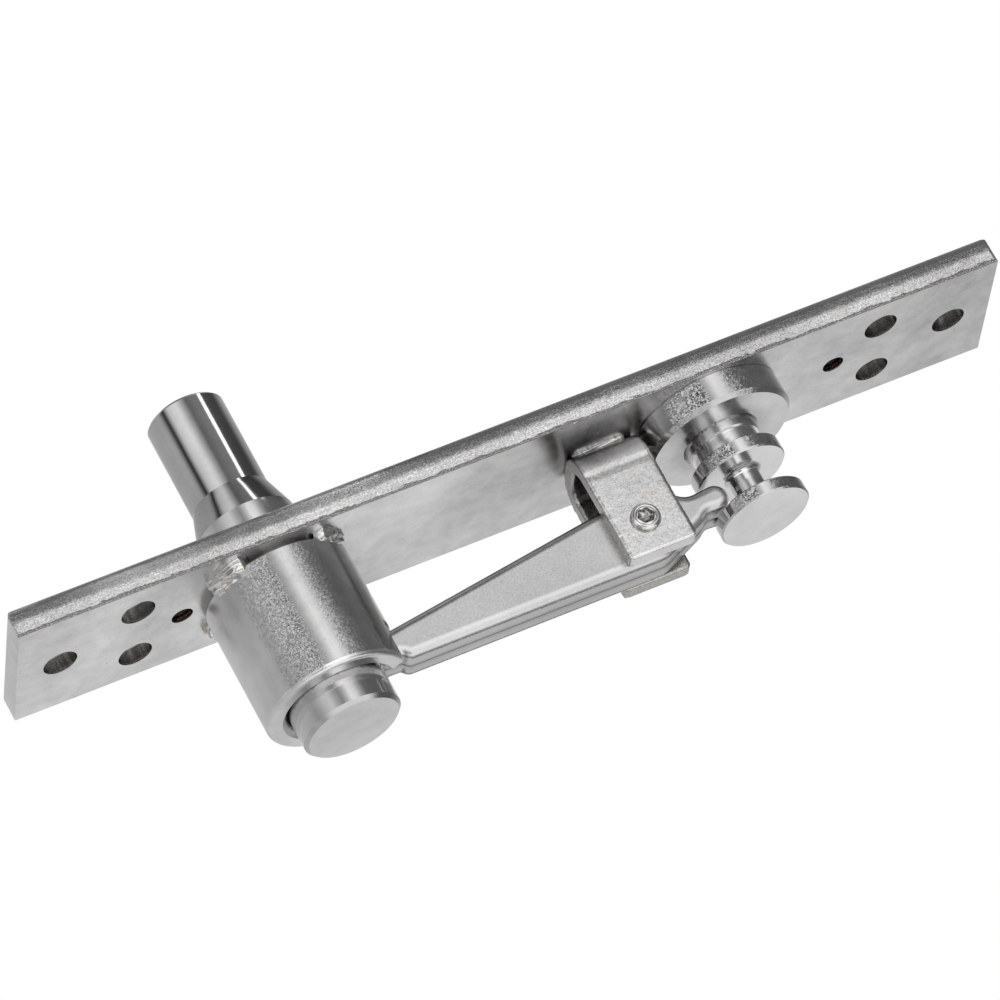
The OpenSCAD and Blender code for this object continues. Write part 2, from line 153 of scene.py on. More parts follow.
class Graph:
    """A node tree that is being filled."""

    def __init__(self, tree):
        self.tree = tree
        tree.nodes.clear()

    def node(self, kind, settings=None, inputs=None, output=0):
        """Adds a shader node, sets and links it, and returns one of its outputs."""
        made = self.tree.nodes.new("ShaderNode" + kind)
        for name, value in (settings or {}).items():
            setattr(made, name, value)
        for name, value in (inputs or {}).items():
            if isinstance(value, Value):
                self.tree.links.new(value.socket, made.inputs[name])
            else:
                made.inputs[name].default_value = value
        return Value(self, made.outputs[output]) if made.outputs else None

    def math(self, operation, first, second=None):
        inputs = {0: first} if second is None else {0: first, 1: second}
        return self.node("Math", {"operation": operation}, inputs)

    def vector(self, operation, first, second):
        return self.node("VectorMath", {"operation": operation}, {0: first, 1: second})

    def scaled(self, vector, factor):
        return self.node(
            "VectorMath", {"operation": "SCALE"}, {"Vector": vector, "Scale": factor}
        )

    def combined(self, x, y, z):
        return self.node("CombineXYZ", None, {"X": x, "Y": y, "Z": z})

    def parts(self, vector):
        split = self.node("SeparateXYZ", None, {"Vector": vector}).socket.node
        return [Value(self, axis) for axis in split.outputs]

    def blend(self, share, first, second):
        """Goes from the first colour to the second as share goes from 0 to 1."""
        return self.node(
            "Mix",
            {"data_type": "RGBA"},
            {"Factor": share, "A": first, "B": second},
            output=2,
        )

    def ramp(self, position, stops):
        """A grey value that follows the stops, given as (position, value) pairs."""
        grey = self.node("ValToRGB", None, {"Fac": position})
        elements = grey.socket.node.color_ramp.elements
        while len(elements) < len(stops):
            elements.new(0.5)
        for element, (place, value) in zip(elements, stops):
            element.position = place
            element.color = (value, value, value, 1)
        return grey

    def position(self):
        """The place on the object in millimetres."""
        return self.scaled(self.node("TexCoord", output=3), 1 / MM)

    def facing(self):
        """Where the surface faces on the object."""
        return self.node("TexCoord", output=1)

    def noise(self, place, scale, detail=2.0, rough=0.5):
        return self.node(
            "TexNoise",
            None,
            {"Vector": place, "Scale": scale, "Detail": detail, "Roughness": rough},
        )

    def crystals(self, place, scale, tilt):
        """A tilt of the surface that changes from one crystal to the next."""
        colour = self.node(
            "TexVoronoi", None, {"Vector": place, "Scale": scale}, output=1
        )
        return self.scaled(self.vector("SUBTRACT", colour, (0.5, 0.5, 0.5)), tilt)

    def bump(self, height, depth=1.0):
        """The normal of a surface that rises by height times depth millimetres."""
        inputs = {"Strength": 1.0, "Distance": depth * MM, "Height": height}
        return self.node("Bump", None, inputs)

    def turn(self, x, y):
        """The angle about z as a share of a circle that starts and ends at -x."""
        return self.math("ARCTAN2", y, x) / math.tau + 0.5

    def metal(self, colour, roughness, normal):
        """Ends the tree in a metal surface."""
        shader = self.node(
            "BsdfPrincipled",
            None,
            {
                "Base Color": colour,
                "Metallic": 1.0,
                "Roughness": roughness,
                "Normal": normal,
            },
        )
        self.node("OutputMaterial", None, {"Surface": shader})


# ------------------------------------------------------------------- materials

ZINC = (0.78, 0.78, 0.78, 1)
BRONZE = (0.80, 0.68, 0.56, 1)
# Dark steel, also used as painted shade at the housing's foot and bore, in drilled holes and
# in the screw's recess
DARK_STEEL_AND_SHADE = (0.22, 0.21, 0.20, 1)
# Dark bare steel for pits and sheared edges, also used as painted shade on the far ear's
# inner face
RAW_STEEL_AND_SHADE = (0.40, 0.38, 0.355, 1)
BRIGHT = (0.92, 0.91, 0.89, 1)
# Painted shade for the walls of holes and the grooves of threads
SCORED_HOLE_SHADE = (0.42, 0.40, 0.38, 1)
THREAD_GROOVE_SHADE = (0.05, 0.035, 0.03, 1)
THREAD_CREST = (0.55, 0.45, 0.38, 1)
THREAD_PITCH = 0.8


def new_material(name):
    material = bpy.data.materials.new(name)
    material.use_nodes = True
    return material, Graph(material.node_tree)


def plated(graph, place, clouds, specks):
    """The shade of zinc plating: cloudy, finely grained, and specked."""
    broad = graph.noise(place, 0.045, 2.0, 0.5).between(0.30, 0.70)
    patch = graph.noise(place, 0.3, 3.0, 0.6)
    fine = graph.noise(place, 4.0, 2.0, 0.6)
    speck = graph.noise(place, 1.4, 2.0, 0.5).between(0.66, 0.74)
    shade = 1 + 0.6 * clouds * (broad - 0.5) + clouds * (patch - 0.5)
    return shade + 2.5 * specks * (fine - 0.5) - 2.0 * specks * speck


def tinted(graph, place, shade, warmth=0.10):
    """Zinc of that shade, a little warmer in patches."""
    warm = warmth * graph.noise(place, 0.5, 3.0, 0.6).between(0.52, 0.72)
    return graph.scaled(graph.blend(warm, ZINC, BRONZE), shade)


def hole_walls(x, y, holes, reach):
    """1 within reach of the walls of any of the holes, given as (x, y, radius)."""
    total = 0.0
    for hole_x, hole_y, radius in holes:
        across = ((x - hole_x) ** 2.0 + (y - hole_y) ** 2.0) ** 0.5
        total = (radius + reach - across).between(0.0, 0.1) + total
    return total.at_most(1.0)


def plate_material(screw_holes, tapped_holes):
    """Sheared and plated bar: satin faces, rolled and torn sides, dark holes."""
    material, graph = new_material("zinc_plate")
    place = graph.position()
    x, y, z = graph.parts(place)
    _, face_y, face_z = graph.parts(graph.facing())
    side = face_y.absolute().between(0.2, 0.5)
    flat = face_z.absolute().between(0.8, 0.95)
    streaks = graph.vector("MULTIPLY", place, (0.2, 1.0, 1.0))

    mottle = graph.noise(place, 3.2, 2.0, 0.7).between(0.36, 0.64)
    smear = graph.noise(streaks, 1.6, 3.0, 0.7)
    shade = plated(graph, place, clouds=0.44, specks=0.08) - 0.02
    shade = shade + side * (0.30 * (mottle - 0.5) + 0.22 * (smear - 0.5))

    # Painted shade and light: the inner face is painted darker, in streaks, by the bracket
    # and darker towards its ends, and lighter left of the middle, copying its reflections
    # there
    shade = shade - flat * (0.22 * x.near(8.0, 26.0) + 0.18 * x.between(54.0, 66.0))
    shade = shade + flat * (0.08 * x.near(-20.0, 12.0) - 0.10 * x.near(-68.0, 10.0))
    shade_by_bracket = x.near(16.0, 14.0) * y.between(-4.0, 8.0) * flat
    shade_streaks = graph.noise(graph.vector("MULTIPLY", place, (1.0, 0.2, 1.0)), 0.9, 3.0, 0.7)
    shade = shade - shade_by_bracket * (0.16 + 0.5 * (shade_streaks - 0.5))
    colour = tinted(graph, place, shade)

    # Shearing tore the last half millimetre of the sides
    waver = graph.noise(streaks, 1.5, 3.0, 0.75)
    chips = graph.noise(place, 5.0, 2.0, 0.7)
    torn_from = PLATE_HIGH.z - 0.55 + 2.0 * (waver - 0.5)
    torn = side * (z - torn_from).between(-0.06, 0.06)
    torn_colour = graph.blend(chips.between(0.53, 0.60), DARK_STEEL_AND_SHADE, BRIGHT)
    colour = graph.blend(0.8 * torn, colour, torn_colour)

    # Painted shade: the walls of drilled holes are painted dark and scored along them, and
    # tapped holes show a thread painted as shaded grooves between lighter crests
    upright = 1 - face_z.absolute().between(0.3, 0.6)
    wall = hole_walls(x, y, screw_holes, 0.35) * upright
    scored = graph.noise(graph.combined(x, y, z * 0.15), 0.6, 2.0, 0.6)
    hole_shade_colour = graph.blend(scored.between(0.50, 0.62), DARK_STEEL_AND_SHADE, SCORED_HOLE_SHADE)
    colour = graph.blend(wall, colour, hole_shade_colour)

    thread = hole_walls(x, y, tapped_holes, 0.5) * (1 - face_z.between(0.8, 0.95))
    groove = (z / THREAD_PITCH).fraction().near(0.5, 0.4)
    thread_colour = graph.blend(groove, THREAD_GROOVE_SHADE, THREAD_CREST)
    colour = graph.blend(thread, colour, thread_colour)

    # The sides are rounded and hammered by the shear, and lean over at its roll
    grain = graph.noise(place, 6.0, 2.0, 0.65)
    relief = grain * (0.004 + 0.034 * side) + 0.03 * smear * side
    normal = graph.bump(relief + chips * torn * 0.2)
    lean = 0.03 - 0.24 * (z + 1.2 * (smear - 0.5)).between(4.0, 2.4)
    normal = graph.vector("ADD", normal, graph.combined(0.0, 0.0, side * lean))
    facets = graph.scaled(graph.crystals(place, 5.0, 1.0), 0.13 * side + 0.01)
    normal = graph.vector("ADD", normal, facets)
    rough = 0.25 - 0.12 * wall + 0.10 * (graph.noise(place, 0.3, 3.0, 0.6) - 0.5)
    graph.metal(colour, rough, normal)
    return material


def frosting(graph, x, y):
    """Where zinc crystals show on a round side, by the angle about its axis."""
    turn = graph.math("ARCTAN2", y, x)
    strong = turn.between(1.76, 1.86) * (1 - turn.between(2.30, 2.44))
    faint = turn.between(1.00, 1.15) * (1 - turn.between(1.42, 1.58))
    return strong + 0.5 * faint


def tube_material():
    """The housing's tube: frosted by zinc crystals on one side, smoother elsewhere, and
    painted with shade at its foot, round its bore and over its frost.
    """
    material, graph = new_material("zinc_tube")
    place = graph.position()
    x, y, z = graph.parts(graph.vector("SUBTRACT", place, tuple(PIN_AXIS)))
    rim = graph.parts(graph.facing())[2].between(0.2, 0.5)
    radius = (x * x + y * y) ** 0.5
    shade = plated(graph, place, clouds=0.26, specks=0.05)
    colour = tinted(graph, place, shade)
    # Painted shade: dark at the foot, where the tube meets the plate, and on the rim round
    # the bore, with a ragged edge
    foot = (z + PIN_AXIS.z - PLATE_HIGH.z).between(1.6, 1.0)
    ragged_shade = graph.noise(place, 0.9, 3.0, 0.7)
    mouth_shade = radius.between(MOUTH + 1.0, MOUTH + 0.4) + 1.2 * (ragged_shade - 0.5)
    mouth_shade = rim * mouth_shade.between(0.25, 0.9)
    colour = graph.blend((foot * 0.75).at_least(mouth_shade * 0.85), colour, DARK_STEEL_AND_SHADE)
    frosted = frosting(graph, x, y) * (1 - rim)
    # Painted shade: the frosted side is also painted darker
    colour = graph.scaled(colour, 1 - 0.30 * frosted)
    grain = graph.noise(place, 7.0, 2.0, 0.7)
    dents = graph.noise(place, 0.7, 2.0, 0.6)
    normal = graph.bump(grain * (0.005 + 0.02 * frosted) + 0.06 * rim * dents)
    facets = graph.scaled(graph.crystals(place, 5.5, 1.0), 0.02 + 0.22 * frosted)
    normal = graph.vector("ADD", normal, facets)
    back = x.between(-6.0, -10.0)
    rough = 0.15 + 0.09 * rim + 0.20 * back
    rough = rough + 0.08 * (graph.noise(place, 0.4, 3.0, 0.6) - 0.5)
    graph.metal(colour, rough, normal)
    return material


def bracket_material():
    """The folded strip: a pitted matt face, dark edges where it was sheared, and painted
    light and shade over the fold and on the far ear's inner face.
    """
    material, graph = new_material("zinc_bracket")
    place = graph.position()
    face_x, face_y, _ = graph.parts(graph.facing())
    _, y, z = graph.parts(place)
    rise = z - FOLD_TOP
    patch = graph.noise(place, 0.6, 3.0, 0.65)
    shade = plated(graph, place, clouds=0.20, specks=0.12)
    # Painted light and shade: lighter higher up the ear, darker just above the fold and
    # darkest over the fold, copying their reflections
    shade = shade + 0.08 * rise.between(4.0, 16.0) - 0.10 * rise.between(2.4, 1.0)
    shade = shade - 0.38 * rise.between(0.0, -2.5)
    colour = tinted(graph, place, shade, warmth=0.32)
    pits = graph.noise(place, 2.2, 3.0, 0.6).between(0.60, 0.68)
    colour = graph.blend(0.5 * pits, colour, RAW_STEEL_AND_SHADE)
    cut = face_x.absolute().between(0.6, 0.85)
    streak = graph.noise(graph.vector("MULTIPLY", place, (1, 1.5, 0.3)), 2.5, 3.0, 0.7)
    # Painted shade: the far ear's inner face, behind the lever, takes the sheared edges'
    # dark colour
    far = y.between(-3.5, -3.9) * face_y.between(-0.2, 0.0)
    sheared_and_shaded = (cut * streak.between(0.15, 0.4)).at_least(far)
    chips = graph.noise(place, 3.0, 3.0, 0.7).between(0.50, 0.64)
    sheared_and_shaded_colour = graph.blend(0.55 * chips, RAW_STEEL_AND_SHADE, BRIGHT)
    colour = graph.blend(0.85 * sheared_and_shaded, colour, sheared_and_shaded_colour)
    grain = graph.noise(place, 5.0, 3.0, 0.65)
    normal = graph.bump(grain * (0.012 + 0.03 * cut) + patch * 0.06)
    normal = graph.vector("ADD", normal, graph.crystals(place, 4.0, 0.06))
    rough = 0.25 + 0.12 * (graph.noise(place, 0.5, 3.0, 0.6) - 0.5)
    graph.metal(colour, rough, normal)
    return material


def blade_material():
    """Stamped blades: smooth satin faces, a torn line along the rolled edge, and painted
    shade on the roll's side towards -z.
    """
    material, graph = new_material("zinc_blade")
    place = graph.position()
    y = graph.parts(place)[1]
    _, face_y, face_z = graph.parts(graph.facing())
    edge = 1 - face_y.absolute().between(0.2, 0.5)
    shade = plated(graph, place, clouds=0.16, specks=0.06) - 0.10
    # Painted shade: the roll's side towards -z is painted darker
    under = face_z.between(-0.04, -0.30) * (1 - edge)
    colour = tinted(graph, place, shade - 0.42 * under, warmth=0.04)
    chips = graph.noise(place, 3.5, 2.0, 0.7)
    away = (y.absolute() - (BLADE - 1.0) - 1.6 * (chips - 0.5)).absolute()
    torn = edge * away.between(0.60, 0.25)
    torn_colour = graph.blend(chips.between(0.56, 0.64), DARK_STEEL_AND_SHADE, BRIGHT)
    colour = graph.blend(0.8 * torn, colour, torn_colour)
    colour = graph.scaled(colour, 1 - 0.12 * edge)
    seam = y.absolute().between(0.42, 0.12)
    colour = graph.blend(0.8 * seam, colour, DARK_STEEL_AND_SHADE)
    grain = graph.noise(place, 5.0, 2.0, 0.6)
    normal = graph.bump(grain * (0.008 + 0.02 * torn))
    normal = graph.vector("ADD", normal, graph.crystals(place, 4.5, 0.045))
    rough = 0.30 + 0.08 * (graph.noise(place, 0.3, 3.0, 0.6) - 0.5)
    graph.metal(colour, rough, normal)
    return material


def turned_material(name, axis, roughness, rings, ends, frost=0.0, frost_from=0.0, bore=0.0):
    """Lathe-turned steel, plated: fine rings about an axis, frosted at the rims.

    rings is the depth of the tool's marks, and ends is painted light on the end faces,
    or painted shade where it is below zero. frost tilts the crystals beyond a radius and
    paints shade over them, and an end face is painted with shade towards a bore and
    with a dark ring of shade at it.
    """
    material, graph = new_material(name)
    place = graph.position()
    x, y, z = graph.parts(graph.vector("SUBTRACT", place, tuple(axis)))
    face_z = graph.parts(graph.facing())[2]
    end = face_z.absolute().between(0.6, 0.9)
    radius = (x * x + y * y) ** 0.5
    chamfer = face_z.near(0.71, 0.25)
    tapered = face_z.between(-0.05, -0.12) * (1 - face_z.between(-0.4, -0.6))
    shade = plated(graph, place, clouds=0.25, specks=0.05)
    # Painted light and shade: end faces lighter or darker by ends, and chamfers and tapers
    # painted darker
    shade = shade + ends * end - 0.24 * chamfer - 0.22 * tapered
    # Painted shade: an end face is darker towards a bore, with a dark ring at it
    if bore:
        mouth_shade = 0.5 * radius.near(bore, 0.45)
        shade = shade - end * (0.25 * radius.between(bore + 4, bore + 0.5) + mouth_shade)
    colour = tinted(graph, place, shade, 0.06)
    tool = graph.noise(graph.combined(radius, z, 0.0), 5.0, 3.0, 0.7)
    pits = graph.noise(place, 5.0, 2.0, 0.6)
    rim = (1 - end) * radius.between(frost_from, frost_from + 0.1) * frosting(graph, x, y)
    turned = rings * (1 + 2.5 * end)
    normal = graph.bump(tool * turned + pits * (0.003 + 0.05 * frost * rim))
    if frost:
        # Painted shade: the frosted rim is also painted darker
        colour = graph.scaled(colour, 1 - 0.36 * rim)
        facets = graph.crystals(place, 4.2, frost)
        normal = graph.vector("ADD", normal, graph.scaled(facets, rim))
    rough = roughness + 0.06 * end + 0.06 * (graph.noise(place, 0.6, 3.0, 0.6) - 0.5)
    graph.metal(colour, rough, normal)
    return material


def screw_material(axis):
    """The pivot screw: bright, with painted shade in its recess and a dark line round its
    seat.
    """
    material, graph = new_material("screw_steel")
    place = graph.position()
    x, _, z = graph.parts(graph.vector("SUBTRACT", place, tuple(axis)))
    radius = (x * x + z * z) ** 0.5
    shade = plated(graph, place, clouds=0.2, specks=0.05)
    # Painted shade in the recess, and a dark line round the seat
    dark = radius.between(1.50, 1.38).at_least(radius.between(2.72, 2.79))
    spots = graph.noise(place, 1.6, 2.0, 0.6).between(0.5, 0.62)
    colour = tinted(graph, place, shade)
    colour = graph.blend(0.85 * dark * (1 - 0.6 * spots), colour, DARK_STEEL_AND_SHADE)
    normal = graph.bump(graph.noise(place, 4.0, 2.0, 0.6), 0.02)
    graph.metal(colour, 0.14, normal)
    return material


def weld_material():
    """Weld metal: bright, rippled, and bronze where it ran hot."""
    material, graph = new_material("weld_metal")
    place = graph.position()
    heat = graph.noise(place, 0.45, 2.0, 0.5).between(0.52, 0.66)
    colour = graph.blend(0.7 * heat, ZINC, BRONZE)
    # Darker in random patches
    dark_patches = graph.noise(place, 1.1, 3.0, 0.6).between(0.54, 0.66)
    colour = graph.blend(0.6 * dark_patches, colour, DARK_STEEL_AND_SHADE)
    normal = graph.bump(graph.noise(place, 2.0, 3.0, 0.6), 0.04)
    graph.metal(colour, 0.13, normal)
    return material


def dress(names, material):
    """Gives CAD nodes a material."""
    for name in names:
        node = nodes[name]
        node.data.materials.clear()
        node.data.materials.append(material)


# ---------------------------------------------------------------------- pieces


def ripple(*place):
    """Even-handed noise between -1 and 1 at a place."""
    return noise.noise(Vector(place))


def piece(name, points, faces, material, body, stands_for):
    """Makes a piece from points in millimetres, in place of CAD nodes.

    Its four-sided faces are shaded smooth, and its other faces flat.
    """
    mesh = bpy.data.meshes.new(name)
    mesh.from_pydata([Vector(point) * MM for point in points], [], faces)
    skin = bmesh.new()
    skin.from_mesh(mesh)
    bmesh.ops.remove_doubles(skin, verts=skin.verts, dist=1e-6)
    bmesh.ops.recalc_face_normals(skin, faces=skin.faces)
    for face in skin.faces:
        face.smooth = len(face.verts) == 4
    skin.to_mesh(mesh)
    skin.free()
    mesh.materials.append(material)
    made = bpy.data.objects.new(name, mesh)
    bpy.context.scene.collection.objects.link(made)
    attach(made, body)
    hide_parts(*stands_for)


def lattice(rows, columns, around=False, start=0):
    """The faces that join a grid of points, which may close round on itself."""
    wide = columns if around else columns - 1
    return [
        (
            start + row * columns + column,
            start + row * columns + (column + 1) % columns,
            start + (row + 1) * columns + (column + 1) % columns,
            start + (row + 1) * columns + column,
        )
        for row in range(rows - 1)
        for column in range(wide)
    ]


# ---- lever blades


def outlines(name, level):
    """The closed outlines of a node's flat face at y = level, as (x, z) points."""
    shape = bmesh.new()
    shape.from_mesh(nodes[name].data)
    bmesh.ops.remove_doubles(shape, verts=shape.verts, dist=1e-6)

    def on_level(face):
        return all(abs(vert.co.y / MM - level) < 0.002 for vert in face.verts)

    onward = {}
    for face in filter(on_level, shape.faces):
        for loop in face.loops:
            others = [other for other in loop.edge.link_faces if other is not face]
            if not any(on_level(other) for other in others):
                onward[loop.vert.index] = loop.link_loop_next.vert.index
    places = [Vector((vert.co.x, vert.co.z)) / MM for vert in shape.verts]
    shape.free()
    found = []
    while onward:
        first, step = onward.popitem()
        ring = [places[first]]
        while step != first:
            ring.append(places[step])
            step = onward.pop(step)
        found.append(ring)
    return sorted(found, key=len, reverse=True)


def set_in(ring, depth):
    """An outline moved inwards by a depth, or outwards where it is negative."""
    area = sum(a.cross(b) for a, b in zip(ring, ring[1:] + ring[:1]))
    inward = math.copysign(1, area)
    moved = []
    for before, here, after in zip(ring[-1:] + ring[:-1], ring, ring[1:] + ring[:1]):
        first = Vector((before.y - here.y, here.x - before.x)).normalized()
        second = Vector((here.y - after.y, after.x - here.x)).normalized()
        both = first + second
        moved.append(here + both * (inward * depth / (1 + first.dot(second))))
    return moved


def blade(name, side, material):
    """One stamped blade: a sheared edge at the middle and a wide roll outside."""
    lip = 0.15  # break of the edges at the seam
    roll, fall, steps = 1.7, 1.15, 10  # the roll's width and depth
    edge, *holes = outlines(name, 0.0)
    edge = set_in(edge, -lip)
    section = [(0.0, lip), (0.05, 0.05), (lip, 0.0), (BLADE - fall - 0.1, 0.0)]
    for step in range(steps + 1):
        turn = math.pi / 2 * step / steps
        section.append((BLADE - fall * (1 - math.sin(turn)), roll * (1 - math.cos(turn))))
    section += [(BLADE, roll + 0.03), (BLADE, roll + 0.1)]
    points, faces = [], []

    def ring(outline, y):
        points.extend(Vector((p.x, side * y, p.y)) for p in outline)
        return list(range(len(points) - len(outline), len(points)))

    def join(first, second):
        for i in range(len(first)):
            j = (i + 1) % len(first)
            faces.append((first[i], first[j], second[j], second[i]))

    def fill(*rings):
        order = [index for indices in rings for index in indices]
        loops = [[points[index] for index in indices] for indices in rings]
        faces.extend(
            tuple(order[corner] for corner in triangle)
            for triangle in tessellate_polygon(loops)
        )

    layers = [ring(set_in(edge, depth), y) for y, depth in section]
    for lower, upper in zip(layers, layers[1:]):
        join(lower, upper)
    bores = [(ring(hole, 0.0), ring(hole, BLADE)) for hole in holes]
    for low_bore, high_bore in bores:
        join(low_bore, high_bore)
    fill(layers[0], *[low_bore for low_bore, _ in bores])
    fill(layers[-1], *[high_bore for _, high_bore in bores])
    label = name.replace("lever_", "")
    piece(label, points, faces, material, "lever", [name])


# ---- bracket


def bracket(material):
    """The folded strip: burred along its sheared edges, and creased over the fold."""
    low, high = span("lever_bracket")
    half_t, fold, step = STRIP / 2, FOLD + STRIP / 2, 0.25
    half_w = (high.x - low.x) / 2
    centre_x = (high.x + low.x) / 2
    ear_y, bend_z, bend_y = high.y - half_t, low.z + half_t + fold, high.y - half_t - fold

    # The strip's middle line as (y, z), and the way out of the fold as (y, z)
    path = []
    stop = int((high.z - bend_z) / step)
    for i in range(stop + 1):
        path.append((ear_y, high.z - (high.z - bend_z) * i / stop, 1.0, 0.0))
    bends = 24
    for i in range(1, bends):
        turn = math.pi / 2 * i / bends
        out, down = math.cos(turn), -math.sin(turn)
        path.append((bend_y + fold * out, bend_z + fold * down, out, down))
    flats = 6
    near_half = path + [
        (bend_y - bend_y * i / flats, low.z + half_t, 0.0, -1.0) for i in range(flats)
    ]
    far_half = [(-y, z, -out, down) for y, z, out, down in reversed(near_half)]
    path = near_half + [(0.0, low.z + half_t, 0.0, -1.0)] + far_half

    # The strip's section as (x, t), with t from its middle line outwards
    corners = [(-half_w, half_t), (half_w, half_t), (half_w, -half_t), (-half_w, -half_t)]
    ring = []
    for first, second, count in zip(corners, corners[1:] + corners[:1], (18, 6, 18, 6)):
        for i in range(count):
            x = first[0] + (second[0] - first[0]) * i / count
            t = first[1] + (second[1] - first[1]) * i / count
            ring.append(softened(x, t, half_w, half_t, 0.3))

    tip_break, burred = 0.35, 0.6
    points = []
    for index, (y, z, out, down) in enumerate(path):
        tip = max(0.0, z - (high.z - tip_break)) / tip_break
        for x, t in ring:
            swell = crease(z - FOLD_TOP) if t > 0 and abs(down) < 0.5 else 0.0
            burr = 0.0
            if abs(x) > half_w - burred:
                burr = 0.07 * ripple(index * 0.35, x, t) + 0.05 * ripple(index * 1.1, t, 3.0)
            pull = 0.3 * (1 - math.sqrt(max(0.0, 1 - tip**2)))
            reach = t * (1 - pull / half_t) + swell + burr * abs(t) / half_t
            sideways = x * (1 - pull / half_w) + burr * (1 if x > 0 else -1) * 0.8
            sideways = corner_cut(sideways, z, high.z, half_w)
            points.append((centre_x + sideways, y + reach * out, z + reach * down))
    around = len(ring)
    faces = lattice(len(path), around, around=True)
    faces.append(tuple(range(around)))
    faces.append(tuple(range((len(path) - 1) * around, len(path) * around)))
    piece("bracket_strip", points, faces, material, "root", ["lever_bracket"])


def softened(x, t, half_w, half_t, corner):
    """Draws the corners of the strip's section in to a small radius."""
    over_x = max(0.0, abs(x) - (half_w - corner))
    over_t = max(0.0, abs(t) - (half_t - corner))
    length = math.hypot(over_x, over_t)
    if min(over_x, over_t) > 0 and length > corner:
        over_x, over_t = over_x * corner / length, over_t * corner / length
        x = math.copysign(half_w - corner + over_x, x)
        t = math.copysign(half_t - corner + over_t, t)
    return x, t


def crease(rise):
    """How far the ear's outside lies back at a height above the fold."""
    if rise > 2.4:
        return 0.0
    if rise > 1.0:
        return -0.10 * (2.4 - rise) / 1.4
    if rise > 0.0:
        return -0.10 + 0.08 * (1.0 - rise)
    return -0.02


def corner_cut(x, z, top, half_w):
    """Rounds the corners at the end of an ear."""
    radius = 1.1 if x > 0 else 0.8
    rise = max(0.0, z - (top - radius)) / radius
    cut = radius * (1 - math.sqrt(max(0.0, 1 - rise**2)))
    return math.copysign(min(abs(x), half_w - cut), x)


# ---- pivot screw


def pivot_screw(material):
    """A button head with a six-lobe recess, and the screw's end in the far ear."""
    low = span("lever_screw")[0]
    centre = middle("lever_screw")
    thread, count = 1.5, 96
    head = [
        (2.72, -0.20), (2.78, 0.10), (2.80, 0.35), (2.74, 0.62), (2.58, 0.88), (2.34, 1.08),
        (2.16, 1.16), (2.06, 1.16), (1.98, 1.08), (1.90, 1.10), (1.78, 1.22), (1.62, 1.24),
        (1.50, 1.20), (1.42, 1.05), (1.36, 0.40), (1.25, 0.28), (0.60, 0.22), (0.02, 0.20),
    ]
    head = [(radius, EAR_FACE + rise) for radius, rise in head]
    stem = [(thread, EAR_FACE - 0.2), (thread, low.y + 0.2), (1.35, low.y + 0.02)]
    stem.append((0.02, low.y + 0.01))
    points, faces = [], []
    for rings, lobe in ((head, 0.17), (stem, 0.0)):
        faces += lattice(len(rings), count, around=True, start=len(points))
        for radius, y in rings:
            for i in range(count):
                turn = math.tau * i / count
                in_recess = 1 < radius <= thread
                out = radius + (lobe * math.cos(6 * turn) if in_recess else 0.0)
                x, z = centre.x + out * math.cos(turn), centre.z + out * math.sin(turn)
                points.append((x, y, z))
    piece("pivot_screw", points, faces, material, "root", ["lever_screw"])


# ---- welds


def fillet(profile, count, across, phase, size):
    """Points of a weld: leaf-like ripples laid across a rounded corner fill.

    profile(share) gives the weld's toe on the plate, its toe on the wall, and its root.
    """
    taper = 0.12  # the share of the weld that each of its ends takes
    points = []
    for i in range(count):
        share = i / (count - 1)
        plate_toe, wall_toe, root = profile(share)
        from_end = min(share, 1 - share, taper)
        ends = math.sin(math.pi / 2 * from_end / taper)
        for j in range(across):
            up = j / (across - 1)
            chord = plate_toe.lerp(wall_toe, up)
            away = (chord - root).normalized()
            fan = 2.2 * (up - 0.5) * (0.4 + share) + 1.3 * share
            leaf = (fan + 0.22 * ripple(share * 3, up * 2, phase)) % 1.0
            crest = 1 - abs(2 * leaf - 1)
            bulge = 0.50 + 0.55 * (crest**1.2 - 0.45)
            bulge += 0.10 * ripple(share * 6, up * 3, phase + 7)
            bulge *= size * math.sin(math.pi * up)
            points.append(root + (chord + away * bulge - root) * (0.25 + 0.75 * ends))
    return points


def round_weld(start, stop, size):
    """A weld round the housing's foot between two angles in degrees."""
    low, high = span("pin_housing")
    radius = (high.x - low.x) / 2

    def profile(share):
        turn = math.radians(start + (stop - start) * share)
        out = Vector((math.cos(turn), math.sin(turn), 0))
        axis = Vector((PIN_AXIS.x, PIN_AXIS.y, low.z))
        stray = 0.35 * ripple(share * 5, start, 0.0)
        y_room = (PLATE_HIGH.y - 0.05 - axis.y) / max(abs(out.y), 1e-6)
        toe = min(radius + 1.6 * size + stray, y_room)
        wall = Vector((0, 0, 2.6 * size + 0.4 * ripple(share * 5, start, 4.0)))
        root = axis + out * (radius - 1.3)
        return axis + out * toe, axis + out * (radius - 0.1) + wall, root

    return profile


def housing_welds(material):
    """Two welds on each side of the housing, clear of the plate's edges."""
    points, faces = [], []
    count, across = 110, 26
    # Where each weld starts and stops, and its size
    arcs = [(117, 154, 1.1), (58, 28, 0.8), (-117, -154, 1.1), (-58, -28, 0.8)]
    for index, (start, stop, size) in enumerate(arcs):
        faces += lattice(count, across, start=len(points))
        points += fillet(round_weld(start, stop, size), count, across, 11.0 * index, size)
    piece("housing_beads", points, faces, material, "root", ["housing_welds"])


